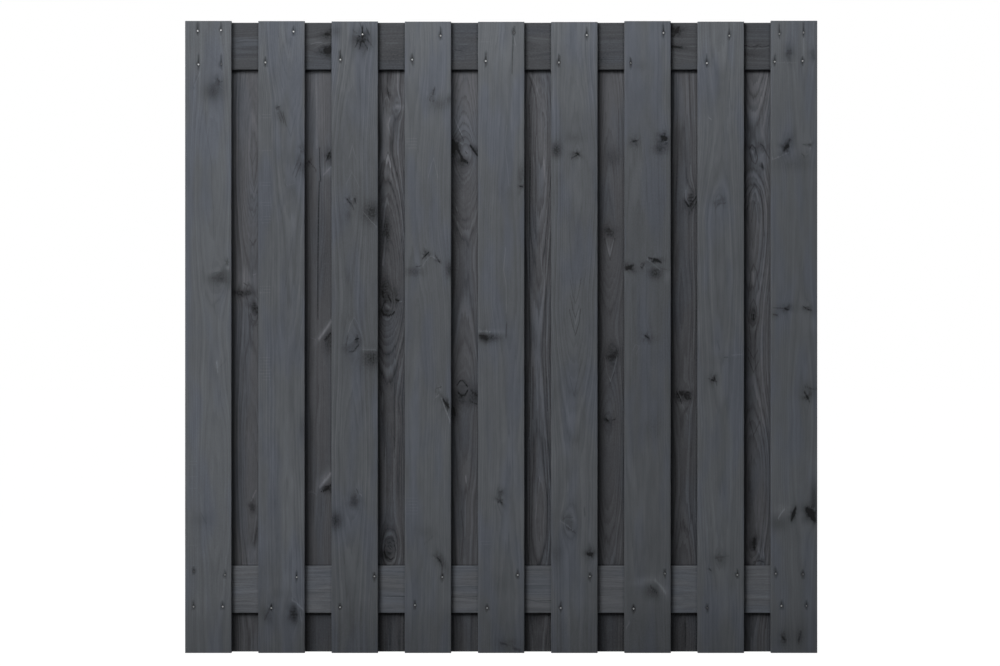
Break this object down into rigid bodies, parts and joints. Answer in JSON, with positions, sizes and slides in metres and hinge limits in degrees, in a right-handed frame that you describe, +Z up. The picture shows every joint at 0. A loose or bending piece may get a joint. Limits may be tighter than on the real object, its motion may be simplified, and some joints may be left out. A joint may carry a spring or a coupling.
{
  "type": "wooden fence panel",
  "caption": "Closed-board garden fence panel: upright softwood boards in two lapping layers, nailed to a top and a bottom rail between them, stained near black.",
  "frame": {"origin": "middle of the foot: halfway along the panel, halfway through its depth, on the ground", "axes": "+X along the panel to the right as seen from the front, +Y through the panel from the front boards to the back boards, +Z up"},
  "size_m": [1.8, 0.045, 1.8],
  "materials": {
    "front_boards": "planed softwood with a thin black-grey stain, grain and knots showing through",
    "back_boards": "planed softwood with a thin black-grey stain, grain and knots showing through",
    "rails": "planed softwood with a thin black-grey stain, grain running along the rail",
    "nails": "plain bright steel, dulled"
  },
  "bodies": {
    "root": {"front_board_1": "front_boards", "front_board_2": "front_boards", "front_board_3": "front_boards", "front_board_4": "front_boards", "front_board_5": "front_boards", "front_board_6": "front_boards", "front_board_7": "front_boards", "front_board_8": "front_boards", "front_board_9": "front_boards", "back_board_1": "back_boards", "back_board_2": "back_boards", "back_board_3": "back_boards", "back_board_4": "back_boards", "back_board_5": "back_boards", "back_board_6": "back_boards", "back_board_7": "back_boards", "back_board_8": "back_boards", "top_rail": "rails", "bottom_rail": "rails", "front_nails_top_rail": "nails", "back_nails_top_rail": "nails", "front_nails_bottom_rail": "nails", "back_nails_bottom_rail": "nails"}
  },
  "joints": []
}
